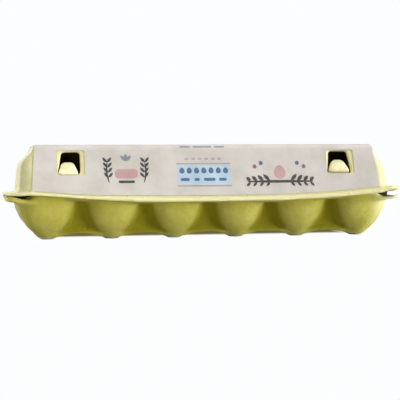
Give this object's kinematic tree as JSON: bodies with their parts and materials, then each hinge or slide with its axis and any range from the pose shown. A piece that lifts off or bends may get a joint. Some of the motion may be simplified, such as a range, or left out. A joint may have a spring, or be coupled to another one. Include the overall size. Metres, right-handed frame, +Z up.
{
  "type": "egg carton with eggs",
  "caption": "Shut long egg carton of yellow-green moulded pulp, with rounded cups below, a sloped lid, two latch windows in front and a printed grey paper label wrapped over the lid.",
  "frame": {"origin": "on the floor, under the middle of the carton's box", "axes": "+X along the two rows of cups, the latch windows face -Y and the hinge is at +Y, +Z up"},
  "size_m": [0.3, 0.1058, 0.0701],
  "materials": {
    "pulp": "matte moulded pulp",
    "label_paper": "smooth printed paper"
  },
  "bodies": {
    "root": {"carton": "pulp", "label": "label_paper"}
  },
  "joints": []
}
